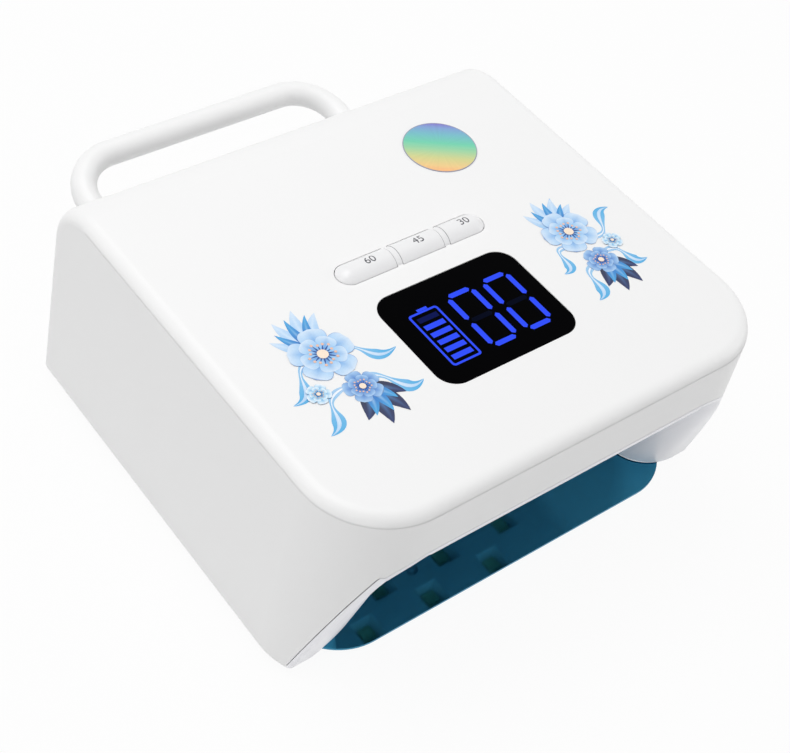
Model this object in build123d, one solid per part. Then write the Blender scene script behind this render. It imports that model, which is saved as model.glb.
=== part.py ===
"""Cordless nail lamp: a white housing over an open hand cavity, with a rear carrying handle.

Frame: X to the right, Y to the back, Z up, origin on the table under the middle of the lamp.
The open mouth faces -Y. All sizes are in millimetres.
"""
import os
from functools import cache
from math import atan, cos, radians, sin

from build123d import *

# Housing envelope
BOTTOM_Z = 5.0
TOP_Z = 113.2
CREASE_Z = 108.5
HALF_WIDTH_BOTTOM = 121.9
HALF_WIDTH_CREASE = 115.0
FRONT_BOTTOM = -144.2
FRONT_CREASE = -147.8
BACK_BOTTOM = 81.0
BACK_CREASE = 76.7
FRONT_CORNER_RADIUS = 37.0
BACK_TOP_RADIUS = 26.6
EDGE_RADIUS = 6.0
WALL = 2.5
SEAM = 0.3

# Mouth: the liner's face leans forward up to the brow; above it the arch goes through the front wall
MOUTH_FOOT_Y = -124.3
MOUTH_LEAN = 0.285
BROW_Z = 74.8

# The liner's flange lies flush in front of the housing's cut edge
FLANGE = 2.1
FLANGE_ROUND = 2.2

# Fine parting groove round the top edge
GROOVE_WIDTH = 0.3
GROOVE_DEPTH = 0.14

# Hand cavity inside the reflector liner
CAVITY_HALF_WIDTH = 85.5
CAVITY_BACK = 52.0
CAVITY_BACK_RADIUS = 14.0
CAVITY_CORNER = 10.0
CEILING_Z = 80.5
MOUTH_TOP_Z = 82.4
MOUTH_CORNER = 26.0

# The nose is the mouth's rolled-in edge; below the knee it spreads towards the foot
NOSE_WIDTH = 14.0
NOSE_DEPTH = 18.0
NOSE_DRAFT = 0.03
NOSE_KNEE = 25.0
NOSE_LOW = -12.0
NOSE_SPREAD = 15.8
NOSE_STEPS = 6

# Liner walls, and the front pillars with the hollow behind each nose
LINER_WALL = 2.2
LINER_SLAB = 5.5
PILLAR_DEPTH = 17.0
PILLAR_HOLLOW = (28.0, 52.0)

# Light wells and beads
WELL_MOUTH = 13.4
WELL_THROAT = 8.4
BEAD = 7.0
BEAD_HEIGHT = 1.6
COLUMN_PITCH = 40.0
ROW_PITCH = 17.5
FIRST_ROW_Y = -90.2
ROW_COUNT = 8
SIDE_BEAD_Z = 42.0
SIDE_BEAD_Y = (-76.0, -41.0, -6.0, 29.0)
SIDE_SCREW_Y = (-58.0, 11.0)
LED_BOARD_SCREWS = ((-66.0, -98.0), (66.0, -98.0), (-40.0, 50.0), (40.0, 50.0))
BOARD = 1.6

# Timer keys: one capsule-shaped row of three keys with a slightly lower fixed bridge between them
KEY_NAMES = ("key_60", "key_45", "key_30")
KEY_ROW_Y = -28.4
KEY_ROW_WIDTH = 12.4
KEY_ROW_LENGTH = 79.0
KEY_RISE = 3.2
KEY_SPANS = ((-39.5, -12.1), (-8.7, 14.1), (17.5, 39.5))
BRIDGE_DROP = 0.45
BRIDGE_GAP = 0.3
KEY_TRAVEL = 0.8
KEY_CLEARANCE = 0.3
KEY_FLANGE = 1.6
KEY_CATCH = 1.3
SWITCH_HEIGHT = 3.6
PLUNGER_RISE = 1.6
PLUNGER_SUNK = 1.4

# Display
WINDOW_HALF_WIDTH = 36.8
WINDOW_FRONT = -102.2
WINDOW_BACK = -46.9
WINDOW_RADIUS = 9.5
WINDOW_THICKNESS = 1.5

# Control board
CONTROL_Z = 99.4
CONTROL_HALF_WIDTH = 45.0
CONTROL_FRONT = -104.0
CONTROL_BACK = -12.0
CONTROL_POSTS = ((-41.0, -99.0), (41.0, -99.0), (-30.0, -16.0), (30.0, -16.0))

SWITCH_BODY_TOP = CONTROL_Z + BOARD + SWITCH_HEIGHT
SWITCH_PLUNGER_TOP = SWITCH_BODY_TOP + PLUNGER_RISE

# Battery pack
CELL_RADIUS = 9.1
CELL_LENGTH = 65.0
CELL_ROWS_Y = (7.0, 29.0)
TRAY_Z = 88.6
TRAY_POSTS = ((-73.0, -6.0), (73.0, -6.0), (-73.0, 40.0), (73.0, 40.0))

# Carrying handle, a round bar bent to a U that leans up to the back
HANDLE_BAR_Y = 141.5
HANDLE_BAR_Z = 60.3
HANDLE_HALF_SPAN = 74.1
HANDLE_BEND = 23.7
HANDLE_RADIUS = 6.4
HANDLE_TILT = 12.4
HANDLE_LENGTH = 76.0

# Removable base plate
PLATE_FRONT = -131.4
PLATE_BACK = 70.0
PLATE_HALF_WIDTH = 108.5
PLATE_FRONT_RADIUS = 30.0
PLATE_BACK_RADIUS = 12.0
PLATE_LOW = 1.6
PLATE_HIGH = 4.6
PLATE_BEVEL = 1.9
MAGNET_SPOTS = ((-99.0, -112.5), (99.0, -112.5), (-100.0, 60.0), (100.0, 60.0))
MAGNET_RADIUS = 5.0
FOOT_SPOTS = ((-86.0, -106.0), (86.0, -106.0), (-92.0, 54.0), (92.0, 54.0))
FOOT_RADIUS = 8.0

# Screws that hold the base ring to the housing
BOSS_LOW = 8.2
BOSS_TOP = 34.0
HOUSING_SCREWS = ((-111.5, -66.0), (111.5, -66.0), (-111.5, 0.0), (111.5, 0.0), (-70.0, 69.5), (70.0, 69.5))

# Charging socket in the back wall
SOCKET_X = 0.0
SOCKET_Z = 24.0
SOCKET_DEPTH = 11.0
SOCKET_GAP = 0.4
CHARGE_POSTS_X = (-12.5, 12.5)
CHARGE_POST_Z = 36.0

# Round badge on the top
BADGE_X = 54.1
BADGE_Y = 20.2
BADGE_RADIUS = 17.6
BADGE_THICKNESS = 0.3

FAR = 400.0


def lerp(low, high, z):
    """A wall position at height z, from its values at the bottom and at the crease."""
    return low + (high - low) * (z - BOTTOM_Z) / (CREASE_Z - BOTTOM_Z)


def half_width(z):
    return lerp(HALF_WIDTH_BOTTOM, HALF_WIDTH_CREASE, z)


def front(z):
    return lerp(FRONT_BOTTOM, FRONT_CREASE, z)


def back(z):
    return lerp(BACK_BOTTOM, BACK_CREASE, z)


def mouth_y(z):
    return MOUTH_FOOT_Y - MOUTH_LEAN * (z - BOTTOM_Z)


def block(x0, x1, y0, y1, z0, z1):
    """An upright box between two corners."""
    return Pos((x0 + x1) / 2, (y0 + y1) / 2, (z0 + z1) / 2) * Box(x1 - x0, y1 - y0, z1 - z0)


def post(x, y, z0, z1, radius):
    """An upright cylinder."""
    return Pos(x, y, (z0 + z1) / 2) * Cylinder(radius, z1 - z0)


def posts(spots, z0, z1, radius):
    """Several separate upright cylinders in one shape."""
    return [post(x, y, z0, z1, radius) for x, y in spots]


def plan(z, inset):
    """The housing's outline at height z: rounded at the front, square at the back."""
    w = half_width(z) - inset
    f = front(z) + inset
    b = back(z) - inset
    r = FRONT_CORNER_RADIUS - inset
    k = r * (1 - cos(radians(45)))
    edges = [
        Line((-w, b), (-w, f + r)),
        ThreePointArc((-w, f + r), (-w + k, f + k), (-w + r, f)),
        Line((-w + r, f), (w - r, f)),
        ThreePointArc((w - r, f), (w - k, f + k), (w, f + r)),
        Line((w, f + r), (w, b)),
        Line((w, b), (-w, b)),
    ]
    return Pos(0, 0, z) * make_face(edges)


@cache
def envelope(inset, low=BOTTOM_Z):
    """The housing as a solid block, with its walls moved in by inset and its foot at low."""
    top = TOP_Z - inset
    solid = loft([plan(low, inset), plan(top, inset)], ruled=True)
    back_edge = solid.edges().filter_by(Axis.X).group_by(Axis.Z)[-1].sort_by(Axis.Y)[-1]
    solid = fillet(back_edge, BACK_TOP_RADIUS - inset)
    rims = []
    roof = solid.faces().sort_by(Axis.Z)[-1]
    roof_back = roof.edges().sort_by(Axis.Y)[-1]
    for edge in roof.edges():
        if (edge.center() - roof_back.center()).length > 1.0:
            rims.append(edge)
    for edge in solid.edges():
        c = edge.center()
        side = abs(c.X) > half_width(c.Z) - inset - 1.0
        if side and c.Y > back(c.Z) - BACK_TOP_RADIUS and c.Z > low + 10.0:
            rims.append(edge)
    return fillet(rims, EDGE_RADIUS - inset)


def parting_groove():
    """A fine line round the foot of the rounded top edge, on the front and both sides."""
    low = CREASE_Z - GROOVE_WIDTH / 2
    band = block(-FAR, FAR, -FAR, BACK_CREASE - BACK_TOP_RADIUS, low, low + GROOVE_WIDTH)
    return band - envelope(GROOVE_DEPTH)


def slot(x_half, y_half, z0, z1):
    """A pill-shaped upright prism on the key row, by its half length and half width."""
    outline = Pos(0, KEY_ROW_Y, z0) * SlotOverall(2 * x_half, 2 * y_half)
    return extrude(outline, z1 - z0)


def window_prism(grow, z0, z1):
    """The display window's rounded rectangle, grown all round."""
    w = 2 * (WINDOW_HALF_WIDTH + grow)
    h = WINDOW_BACK - WINDOW_FRONT + 2 * grow
    outline = Pos(0, (WINDOW_FRONT + WINDOW_BACK) / 2, z0) * RectangleRounded(w, h, WINDOW_RADIUS + grow)
    return extrude(outline, z1 - z0)


def handle_axis(x):
    """Where one leg of the handle starts inside the back wall, and the way it runs."""
    lean = radians(HANDLE_TILT)
    direction = Vector(0, cos(lean), sin(lean))
    end = Vector(x, HANDLE_BAR_Y, HANDLE_BAR_Z)
    return end - direction * HANDLE_LENGTH, direction


def leg_cylinder(x, start, end, radius):
    """A cylinder along one handle leg, between two distances from its inner end."""
    origin, direction = handle_axis(x)
    place = Plane(origin=origin + direction * start, z_dir=direction)
    return extrude(place * Circle(radius), end - start)


def screw_boss(x, y):
    """A boss inside the housing for one base screw, with a rib to the nearest wall."""
    boss = post(x, y, BOSS_LOW, BOSS_TOP, 4.0)
    if y < 60:
        x0, x1 = sorted((x, x / abs(x) * (half_width(BOSS_TOP) - 1.0)))
        return boss + block(x0, x1, y - 1.2, y + 1.2, BOSS_LOW, BOSS_TOP)
    return boss + block(x - 1.2, x + 1.2, y, back(BOSS_TOP) - 1.0, BOSS_LOW, BOSS_TOP)


def along_y(x, z, y0, y1, radius):
    """A cylinder that runs front to back."""
    return Pos(x, (y0 + y1) / 2, z) * Rot(90, 0, 0) * Cylinder(radius, y1 - y0)


def upper_housing():
    body = envelope(0.0) - envelope(WALL, 0.0)
    limit = envelope(1.0, 0.0)
    for x, y in HOUSING_SCREWS:
        body += screw_boss(x, y) & limit
    for x in (-HANDLE_HALF_SPAN, HANDLE_HALF_SPAN):
        body += leg_cylinder(x, 0.0, 12.0, 9.4) & limit
    for x in CHARGE_POSTS_X:
        body += along_y(x, CHARGE_POST_Z, charge_board_back(), back(CHARGE_POST_Z) - 1.0, 3.0)
    for x, y in CONTROL_POSTS:
        body += post(x, y, CONTROL_Z + BOARD, TOP_Z - 1.0, 3.0)
    body -= mouth_space(FLANGE)
    body -= parting_groove()
    body -= slot(KEY_ROW_LENGTH / 2 + KEY_CLEARANCE, KEY_ROW_WIDTH / 2 + KEY_CLEARANCE, TOP_Z - 5, TOP_Z + 5)
    for bridge in key_bridges():
        body += bridge
    body -= window_prism(0.15, TOP_Z - WINDOW_THICKNESS, TOP_Z + 5)
    body -= window_prism(-6.0, TOP_Z - 8, TOP_Z + 5)
    for x in (-HANDLE_HALF_SPAN, HANDLE_HALF_SPAN):
        body -= leg_cylinder(x, -1.0, 30.0, HANDLE_RADIUS + 0.2)
    body -= along_y(SOCKET_X, SOCKET_Z, back(SOCKET_Z) - 6.0, FAR, 4.6)
    for x in CHARGE_POSTS_X:
        body -= along_y(x, CHARGE_POST_Z, charge_board_back() - 1, charge_board_back() + 7.0, 1.2)
    for x, y in HOUSING_SCREWS:
        body -= post(x, y, 0, 24.0, 1.5)
    for x, y in CONTROL_POSTS:
        body -= post(x, y, CONTROL_Z, TOP_Z - WALL - 2.0, 1.1)
    return body


def well_spots():
    """Centres of the ceiling wells: rows of three and four, staggered."""
    spots = []
    for row in range(ROW_COUNT):
        count = 3 if row % 2 == 0 else 4
        for i in range(count):
            spots.append(((i - (count - 1) / 2) * COLUMN_PITCH, FIRST_ROW_Y + row * ROW_PITCH))
    return spots


def well():
    """One tapered square well, mouth down at z 0 and throat at the slab's top."""
    low = Pos(0, 0, -0.01) * Rectangle(WELL_MOUTH, WELL_MOUTH)
    high = Pos(0, 0, LINER_SLAB + 0.01) * Rectangle(WELL_THROAT, WELL_THROAT)
    return loft([low, high], ruled=True)


def mouth_plane(depth):
    """The mouth plane moved back by depth; local x is world X and local y climbs the mouth."""
    lean = atan(MOUTH_LEAN)
    step = Vector(0, cos(lean), sin(lean)) * depth
    return Plane(origin=Vector(0, MOUTH_FOOT_Y, BOTTOM_Z) + step, x_dir=(1, 0, 0), z_dir=(0, -cos(lean), -sin(lean)))


def arch(depth, half, top, corner, spread=0.0):
    """A round-cornered opening on the mouth plane at depth, half wide each way at its top edge.

    Its sides have the given share of the nose's draft and of its spread towards the foot.
    """
    lean = atan(MOUTH_LEAN)
    high = (top - BOTTOM_Z - sin(lean) * depth) / cos(lean)
    middle = (NOSE_KNEE + NOSE_LOW) / 2
    knee = half + spread * NOSE_DRAFT * (high - NOSE_KNEE)
    bend = half + spread * NOSE_DRAFT * (high - middle)
    foot = half + spread * (NOSE_DRAFT * (high - NOSE_LOW) + NOSE_SPREAD)
    edges = [Line((-half, high), (half, high)), Line((-foot, NOSE_LOW), (foot, NOSE_LOW))]
    for side in (-1, 1):
        edges.append(Line((side * half, high), (side * knee, NOSE_KNEE)))
        edges.append(Bezier((side * knee, NOSE_KNEE), (side * bend, middle), (side * foot, NOSE_LOW)))
    outline = make_face(edges)
    outline = fillet(outline.vertices().group_by(Axis.Y)[-1], corner)
    return mouth_plane(depth) * outline


def below_brow(step):
    """The space in front of the leaning face and below the brow, moved back and up by step."""
    top = BROW_Z + step
    side = Polyline((-FAR, -10), (mouth_y(-10) + step, -10), (mouth_y(top) + step, top), (-FAR, top), close=True)
    return extrude(Plane.YZ * make_face(side), HALF_WIDTH_BOTTOM * 2, both=True)


def mouth_space(step):
    """What the mouth takes from the housing's walls, moved out by step from the liner's own edges."""
    half = CAVITY_HALF_WIDTH + NOSE_WIDTH + step
    section = arch(0.0, half, MOUTH_TOP_Z + step, MOUTH_CORNER + step, 1.0)
    return below_brow(step) + extrude(section, 20.0, dir=(0, 1, 0), both=True)


def flange_block():
    """The housing's whole form behind the leaning face, with that face's outer edges rounded."""
    solid = envelope(0.0) - below_brow(0.0)
    rims = []
    for edge in solid.edges():
        c = edge.center()
        if abs(c.Y - mouth_y(c.Z)) < 0.1 and BOTTOM_Z + 1.0 < c.Z < BROW_Z - 1.0:
            rims.append(edge)
    return fillet(rims, FLANGE_ROUND)


def flare():
    """The mouth's rolled-in edge: a nose of a quarter round down both sides, a thin lip on top."""
    sections = []
    for i in range(NOSE_STEPS + 1):
        turn = radians(90.0 * i / NOSE_STEPS)
        spread = 1 - sin(turn)
        depth = NOSE_DEPTH * (1 - cos(turn))
        half = CAVITY_HALF_WIDTH + NOSE_WIDTH * spread
        top = CEILING_Z + (MOUTH_TOP_Z - CEILING_Z) * spread
        corner = CAVITY_CORNER + (MOUTH_CORNER - CAVITY_CORNER) * spread
        sections.append(arch(depth, half, top, corner, spread))
    return loft(sections) + extrude(sections[0], 20.0, dir=(0, -1, 0))


@cache
def cavity(grow):
    """The hand cavity with its walls moved out by grow; it starts behind the nose."""
    depth = NOSE_DEPTH if grow == 0.0 else 0.0
    section = arch(depth, CAVITY_HALF_WIDTH + grow, CEILING_Z + grow, CAVITY_CORNER + grow)
    tunnel = extrude(section, FAR, dir=(0, 1, 0))
    w = CAVITY_HALF_WIDTH + grow + 0.5
    end = CAVITY_BACK + grow
    r = CAVITY_BACK_RADIUS + grow
    k = r * (1 - cos(radians(45)))
    edges = [
        Line((-w, -FAR), (w, -FAR)),
        Line((w, -FAR), (w, end - r)),
        ThreePointArc((w, end - r), (w - k, end - k), (w - r, end)),
        Line((w - r, end), (r - w, end)),
        ThreePointArc((r - w, end), (k - w, end - k), (-w, end - r)),
        Line((-w, end - r), (-w, -FAR)),
    ]
    return tunnel & extrude(Pos(0, 0, -40) * make_face(edges), 200)


def behind_mouth(depth):
    """Everything behind the mouth plane moved back along Y by depth."""
    side = Polyline((mouth_y(-30) + depth, -30), (mouth_y(200) + depth, 200), (FAR, 200), (FAR, -30), close=True)
    return extrude(Plane.YZ * make_face(side), FAR, both=True)


def pillar_hollow(side):
    """The space inside one front pillar of the liner, behind its rolled nose."""
    lean = atan(MOUTH_LEAN)
    x = CAVITY_HALF_WIDTH + NOSE_WIDTH + 2.0
    inner = CAVITY_HALF_WIDTH + LINER_WALL
    middle = (x + (inner - x) * sin(radians(45)), NOSE_DEPTH + (LINER_WALL - NOSE_DEPTH) * sin(radians(45)))
    edges = [
        Line((inner, 25.0), (inner, NOSE_DEPTH)),
        ThreePointArc((inner, NOSE_DEPTH), middle, (x, LINER_WALL)),
        Line((x, LINER_WALL), (140.0, LINER_WALL)),
        Line((140.0, LINER_WALL), (140.0, 25.0)),
        Line((140.0, 25.0), (inner, 25.0)),
    ]
    place = Plane(origin=(0, MOUTH_FOOT_Y, BOTTOM_Z), x_dir=(1, 0, 0), z_dir=(0, -sin(lean), cos(lean)))
    prism = extrude(place * make_face(edges), 90.0, both=True)
    prism = prism & block(-FAR, FAR, -FAR, FAR, *PILLAR_HOLLOW) & envelope(WALL + SEAM + LINER_WALL, 0.0)
    return prism if side > 0 else mirror(prism, about=Plane.YZ)


def reflector_liner():
    slab_top = CEILING_Z + LINER_SLAB
    solid = envelope(WALL + SEAM) & block(-FAR, FAR, -FAR, FAR, 0, slab_top)
    solid += flange_block() & mouth_space(FLANGE - SEAM)
    solid -= below_brow(0.0)
    solid -= flare()
    solid -= cavity(0.0)
    solid -= behind_mouth(PILLAR_DEPTH) - cavity(LINER_SLAB)
    for side in (-1, 1):
        solid -= pillar_hollow(side)
    for x, y in well_spots():
        solid -= Pos(x, y, CEILING_Z) * well()
    for side in (-1, 1):
        for y in SIDE_BEAD_Y:
            solid -= Pos(side * CAVITY_HALF_WIDTH, y, SIDE_BEAD_Z) * Rot(0, side * 90, 0) * well()
        for y in SIDE_SCREW_Y:
            solid -= along_x(side, y, SIDE_BEAD_Z, 1.5, LINER_SLAB + 1.0, 1.2)
    solid -= post(0, FIRST_ROW_Y + ROW_PITCH, CEILING_Z - 1, slab_top + 1, 3.4)
    for x, y in TRAY_POSTS:
        solid += post(x, y, slab_top - 3, TRAY_Z, 3.0)
        solid -= post(x, y, slab_top - 3, TRAY_Z + 1, 1.2)
    for x, y in LED_BOARD_SCREWS:
        solid -= post(x, y, slab_top - 4, slab_top + 1, 1.3)
    for x, y in MAGNET_SPOTS[:2]:
        solid -= post(x, y, 0, BOTTOM_Z + 3.2, MAGNET_RADIUS + 0.1)
    return solid


def base_ring():
    """The flat frame that closes the gap between housing and liner underneath."""
    ring = envelope(WALL + SEAM) & block(-FAR, FAR, -FAR, FAR, BOTTOM_Z, BOTTOM_Z + 3.0)
    reach = mouth_y(BOTTOM_Z) + PILLAR_DEPTH + 1.5
    ring -= block(-FAR, FAR, -FAR, reach, 0, 20)
    ring -= cavity(LINER_SLAB + SEAM)
    for x, y in HOUSING_SCREWS:
        ring -= post(x, y, 0, 20, 1.7)
        ring -= post(x, y, 0, BOTTOM_Z + 2.0, 3.3)
    for x, y in MAGNET_SPOTS[2:]:
        ring += post(x, y, BOTTOM_Z, BOTTOM_Z + 4.6, MAGNET_RADIUS + 2.0) & envelope(WALL + SEAM)
        ring -= post(x, y, 0, BOTTOM_Z + 3.2, MAGNET_RADIUS + 0.1)
    return ring


def screw(x, y, head_low, head_high, tip, shank, head):
    """An upright screw; its head lies between head_low and head_high and its tip is at tip."""
    body = post(x, y, head_low, head_high, head)
    body += post(x, y, min(tip, head_low), max(tip, head_high), shank)
    recess = post(x, y, head_low - 0.01, head_low + 0.9, head * 0.45) if tip > head_high else post(
        x, y, head_high - 0.9, head_high + 0.01, head * 0.45)
    return body - recess


def key_crown(drop):
    """The capsule-shaped hump of the key row above the top face, lowered and narrowed by drop."""
    half = KEY_ROW_WIDTH / 2
    radius = (half * half + KEY_RISE * KEY_RISE) / (2 * KEY_RISE)
    axis_z = TOP_Z + KEY_RISE - radius
    straight = KEY_ROW_LENGTH / 2 - half
    radius -= drop
    capsule = Pos(0, KEY_ROW_Y, axis_z) * Rot(0, 90, 0) * Cylinder(radius, 2 * straight)
    for x in (-straight, straight):
        capsule += Pos(x, KEY_ROW_Y, axis_z) * Sphere(radius)
    return capsule & block(-FAR, FAR, -FAR, FAR, TOP_Z, TOP_Z + 20)


def key_bridges():
    """The two fixed bridges between the keys; they span the slot in the top face."""
    bridges = []
    for i in range(2):
        x0 = KEY_SPANS[i][1] + BRIDGE_GAP
        x1 = KEY_SPANS[i + 1][0] - BRIDGE_GAP
        reach = KEY_ROW_WIDTH / 2 + 1.0
        rib = block(x0, x1, KEY_ROW_Y - reach, KEY_ROW_Y + reach, TOP_Z - WALL, TOP_Z)
        bridges.append(rib + (key_crown(BRIDGE_DROP) & block(x0, x1, -FAR, FAR, 0, FAR)))
    return bridges


def key_centre(i):
    return (KEY_SPANS[i][0] + KEY_SPANS[i][1]) / 2


def timer_key(i):
    """One key: its share of the row, its retaining flange and the stem that reaches its switch."""
    half = KEY_ROW_WIDTH / 2
    flange_top = TOP_Z - WALL - KEY_CLEARANCE
    flange_low = flange_top - KEY_FLANGE
    row = key_crown(0.0) + slot(KEY_ROW_LENGTH / 2, half, flange_low, TOP_Z)
    row += slot(KEY_ROW_LENGTH / 2 + KEY_CATCH, half + KEY_CATCH, flange_low, flange_top)
    low = -FAR if i == 0 else KEY_SPANS[i][0]
    high = FAR if i == 2 else KEY_SPANS[i][1]
    cap = row & block(low, high, -FAR, FAR, 0, 200)
    return cap + post(key_centre(i), KEY_ROW_Y, SWITCH_PLUNGER_TOP, flange_low + 0.1, 2.2)


def switch_body(i):
    x = key_centre(i)
    z = CONTROL_Z + BOARD
    body = block(x - 3, x + 3, KEY_ROW_Y - 3, KEY_ROW_Y + 3, z, SWITCH_BODY_TOP)
    depth = PLUNGER_SUNK + KEY_TRAVEL + 0.4
    return body - post(x, KEY_ROW_Y, SWITCH_BODY_TOP - depth, SWITCH_BODY_TOP + 1, 1.95)


def switch_plunger(i):
    return post(key_centre(i), KEY_ROW_Y, SWITCH_BODY_TOP - PLUNGER_SUNK, SWITCH_PLUNGER_TOP, 1.65)


def carry_handle():
    origin_left, direction = handle_axis(-HANDLE_HALF_SPAN)
    origin_right, _ = handle_axis(HANDLE_HALF_SPAN)
    end_left = origin_left + direction * HANDLE_LENGTH
    end_right = origin_right + direction * HANDLE_LENGTH
    path = FilletPolyline(origin_left, end_left, end_right, origin_right, radius=HANDLE_BEND)
    bar = sweep(Plane(origin=origin_left, z_dir=direction) * Circle(HANDLE_RADIUS), path=path)
    for x in (-HANDLE_HALF_SPAN, HANDLE_HALF_SPAN):
        bar -= leg_cylinder(x, -1.0, 14.0, 1.8)
    return bar


def handle_washers():
    rings = []
    for x in (-HANDLE_HALF_SPAN, HANDLE_HALF_SPAN):
        rings.append(leg_cylinder(x, -2.0, 0.0, 9.0) - leg_cylinder(x, -3.0, 1.0, 2.2))
    return rings


def handle_screws():
    screws = []
    for x in (-HANDLE_HALF_SPAN, HANDLE_HALF_SPAN):
        head = leg_cylinder(x, -4.6, -2.0, 3.8) - leg_cylinder(x, -5.0, -3.4, 1.6)
        screws.append(head + leg_cylinder(x, -2.0, 12.0, 1.7))
    return screws


def control_board():
    board = block(-CONTROL_HALF_WIDTH, CONTROL_HALF_WIDTH, CONTROL_FRONT, CONTROL_BACK, CONTROL_Z, CONTROL_Z + BOARD)
    for x, y in CONTROL_POSTS:
        board -= post(x, y, 0, 200, 1.4)
    return board


def board_parts():
    """Chips, capacitors and connectors under the control board."""
    low = CONTROL_Z
    parts = [
        block(-12, 2, -52, -40, low - 2.0, low),
        block(12, 22, -70, -60, low - 1.6, low),
        block(-38, -28, -46, -38, low - 5.0, low),
        block(28, 38, -46, -38, low - 5.0, low),
        block(-6, 6, -20, -13, low - 5.0, low),
        post(-18, -66, low - 9.0, low, 4.0),
        post(-30, -66, low - 9.0, low, 4.0),
    ]
    return parts


def display_module():
    top = TOP_Z - WINDOW_THICKNESS - 0.3
    middle = (WINDOW_FRONT + WINDOW_BACK) / 2
    return block(-29.5, 29.5, middle - 20.5, middle + 20.5, CONTROL_Z + BOARD, top)


def display_window():
    pane = window_prism(0.0, TOP_Z - WINDOW_THICKNESS, TOP_Z)
    rim = pane.faces().sort_by(Axis.Z)[-1].edges()
    return chamfer(rim, 0.25)


def cell_spots():
    return [(side * (CELL_LENGTH / 2 + 2.0), y) for y in CELL_ROWS_Y for side in (-1, 1)]


def cell_z():
    return TRAY_Z + 1.8 + CELL_RADIUS


def battery_cells():
    cells = []
    for x, y in cell_spots():
        can = Pos(x, y, cell_z()) * Rot(0, 90, 0) * Cylinder(CELL_RADIUS, CELL_LENGTH - 1.2)
        cells.append(can + Pos(x, y, cell_z()) * Rot(0, 90, 0) * Cylinder(3.0, CELL_LENGTH))
    return cells


def battery_tray():
    x_end = CELL_LENGTH + 2.0
    base = block(-76, 76, CELL_ROWS_Y[0] - 17, CELL_ROWS_Y[1] + 15, TRAY_Z, TRAY_Z + 1.5)
    low, high = CELL_ROWS_Y[0] - 8, CELL_ROWS_Y[1] + 8
    for x0, x1 in ((-x_end - 3.2, -x_end - 1.6), (-0.8, 0.8), (x_end + 1.6, x_end + 3.2)):
        base += block(x0, x1, low, high, TRAY_Z + 1.0, TRAY_Z + 16.0)
    for x, y in TRAY_POSTS:
        base -= post(x, y, 0, 200, 1.5)
    return base


def battery_contacts():
    """Metal tabs between the cells' ends and the tray's walls."""
    x_end = CELL_LENGTH + 2.0
    low, high = CELL_ROWS_Y[0] - 4, CELL_ROWS_Y[1] + 4
    z = cell_z()
    outer = [block(s * (x_end + 0.8) - 0.7, s * (x_end + 0.8) + 0.7, low, high, z - 4, z + 4) for s in (-1, 1)]
    inner = [block(s * 1.4 - 0.5, s * 1.4 + 0.5, low, high, z - 4, z + 4) for s in (-1, 1)]
    return outer + inner


def led_board():
    z = CEILING_Z + LINER_SLAB
    board = block(-82, 82, -108, 54, z, z + BOARD)
    for x, y in TRAY_POSTS:
        board -= post(x, y, 0, 200, 3.4)
    for x, y in LED_BOARD_SCREWS:
        board -= post(x, y, 0, 200, 1.6)
    return board


def ceiling_beads():
    z = CEILING_Z + LINER_SLAB
    h = BEAD / 2
    return [block(x - h, x + h, y - h, y + h, z - BEAD_HEIGHT, z) for x, y in well_spots()]


def along_x(side, y, z, low, high, radius):
    """A cylinder that runs sideways, between two distances out from the cavity wall."""
    x = side * (CAVITY_HALF_WIDTH + (low + high) / 2)
    return Pos(x, y, z) * Rot(0, 90, 0) * Cylinder(radius, high - low)


def side_board(side):
    x = side * (CAVITY_HALF_WIDTH + LINER_SLAB)
    x0, x1 = sorted((x, x + side * BOARD))
    board = block(x0, x1, SIDE_BEAD_Y[0] - 12, SIDE_BEAD_Y[-1] + 12, SIDE_BEAD_Z - 9, SIDE_BEAD_Z + 9)
    for y in SIDE_SCREW_Y:
        board -= along_x(side, y, SIDE_BEAD_Z, 0, 20, 1.5)
    return board


def side_screws():
    """The screws that hold both side boards on the liner's walls."""
    face = LINER_SLAB + BOARD
    screws = []
    for side in (-1, 1):
        for y in SIDE_SCREW_Y:
            head = along_x(side, y, SIDE_BEAD_Z, face, face + 1.6, 2.6)
            head -= along_x(side, y, SIDE_BEAD_Z, face + 0.8, face + 2.0, 1.2)
            screws.append(head + along_x(side, y, SIDE_BEAD_Z, 2.0, face, 1.0))
    return screws


def side_beads(side):
    x = side * (CAVITY_HALF_WIDTH + LINER_SLAB)
    x0, x1 = sorted((x - side * BEAD_HEIGHT, x))
    h = BEAD / 2
    return [block(x0, x1, y - h, y + h, SIDE_BEAD_Z - h, SIDE_BEAD_Z + h) for y in SIDE_BEAD_Y]


def hand_sensor():
    """The infrared eye that looks down through the ceiling."""
    y = FIRST_ROW_Y + ROW_PITCH
    z = CEILING_Z + LINER_SLAB
    lens = post(0, y, CEILING_Z + 2.0, z, 3.0)
    return lens + Pos(0, y, CEILING_Z + 2.0) * Sphere(2.0)


def charge_socket():
    """Barrel socket: a square body inside the wall and a round nose that fills the wall's hole."""
    wall_y = back(SOCKET_Z)
    inner_y = wall_y - WALL - SOCKET_GAP
    body = block(SOCKET_X - 5.5, SOCKET_X + 5.5, inner_y - SOCKET_DEPTH, inner_y, SOCKET_Z - 5.5, SOCKET_Z + 5.5)
    nose = Pos(SOCKET_X, (inner_y + wall_y) / 2, SOCKET_Z) * Rot(90, 0, 0) * Cylinder(4.3, wall_y - inner_y)
    bore = Pos(SOCKET_X, wall_y, SOCKET_Z) * Rot(90, 0, 0) * Cylinder(2.9, 19.0)
    pin = Pos(SOCKET_X, wall_y - 6.0, SOCKET_Z) * Rot(90, 0, 0) * Cylinder(0.95, 8.0)
    return body + nose - bore + pin


def charge_board_back():
    return back(SOCKET_Z) - WALL - SOCKET_GAP - SOCKET_DEPTH


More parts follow.
